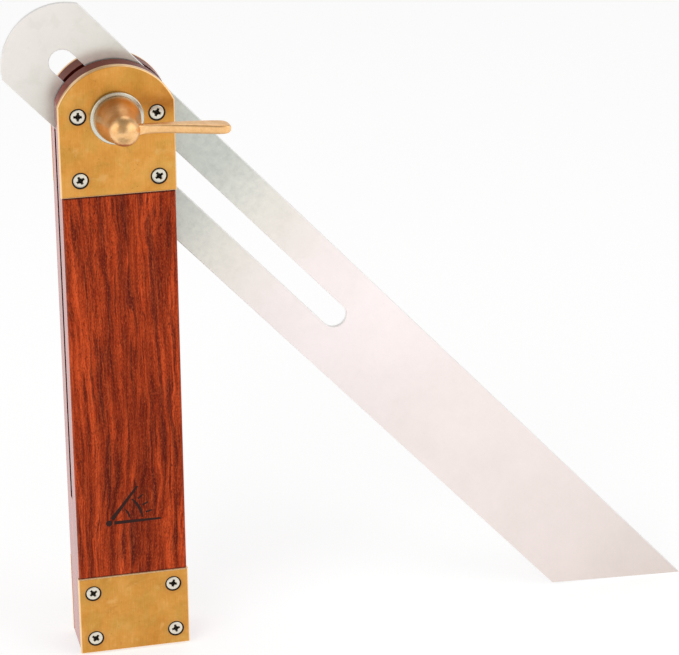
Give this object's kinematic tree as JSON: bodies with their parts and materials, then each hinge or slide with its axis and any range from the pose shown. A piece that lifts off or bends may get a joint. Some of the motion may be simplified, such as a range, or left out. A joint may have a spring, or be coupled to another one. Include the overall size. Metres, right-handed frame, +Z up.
{
  "type": "sliding bevel gauge",
  "caption": "Sliding bevel gauge: slotted steel blade that swings and slides in a hardwood handle with brass end plates, locked by a brass lever nut.",
  "frame": {"origin": "centre of the handle's squared butt end", "axes": "+Z runs up the handle to its rounded top, +X is the side the blade points to at rest, -Y is the front face with the lever; the pivot axis is parallel to Y at z = 136.5 mm"},
  "size_m": [0.1693, 0.0291, 0.1629],
  "materials": {
    "rosewood": "lacquered red hardwood with dark streaks",
    "plate_brass": "satin, lightly tarnished",
    "screw_nickel": "nickel plated",
    "blade_steel": "satin ground",
    "bolt_steel": "turned",
    "washer_steel": "bright plated",
    "lever_brass": "cast and satin polished"
  },
  "bodies": {
    "stock": {"handle": "rosewood", "front_bolster_plate": "plate_brass", "rear_bolster_plate": "plate_brass", "front_end_plate": "plate_brass", "rear_end_plate": "plate_brass", "front_bolster_screws": "screw_nickel", "rear_bolster_screws": "screw_nickel", "front_end_screws": "screw_nickel", "rear_end_screws": "screw_nickel", "bolt_washer": "washer_steel"},
    "pivot": {"pivot_bolt": "bolt_steel"},
    "blade": {"blade": "blade_steel"},
    "washer": {"lever_washer": "washer_steel"},
    "lever": {"lever": "lever_brass"}
  },
  "joints": [
    {"name": "blade_swing", "type": "hinge", "parent": "stock", "child": "pivot", "pos_m": [0, 0, 0.1365], "axis": [0, -1, 0], "range_deg": [-27, 301]},
    {"name": "blade_slide", "type": "slide", "parent": "pivot", "child": "blade", "axis": [0.6812, 0, -0.7321], "range_m": [-0.0746, 0.0139]},
    {"name": "washer_shift", "type": "slide", "parent": "stock", "child": "washer", "axis": [0, -1, 0], "range_m": [0, 0.00051]},
    {"name": "lever_turn", "type": "hinge", "parent": "washer", "child": "lever", "pos_m": [0, 0, 0.1365], "axis": [0, -1, 0], "range_deg": [0, 180]}
  ],
  "couplings": [
    {"joint": "washer_shift", "follows": "lever_turn", "m_per_rad": 0.00015915}
  ]
}
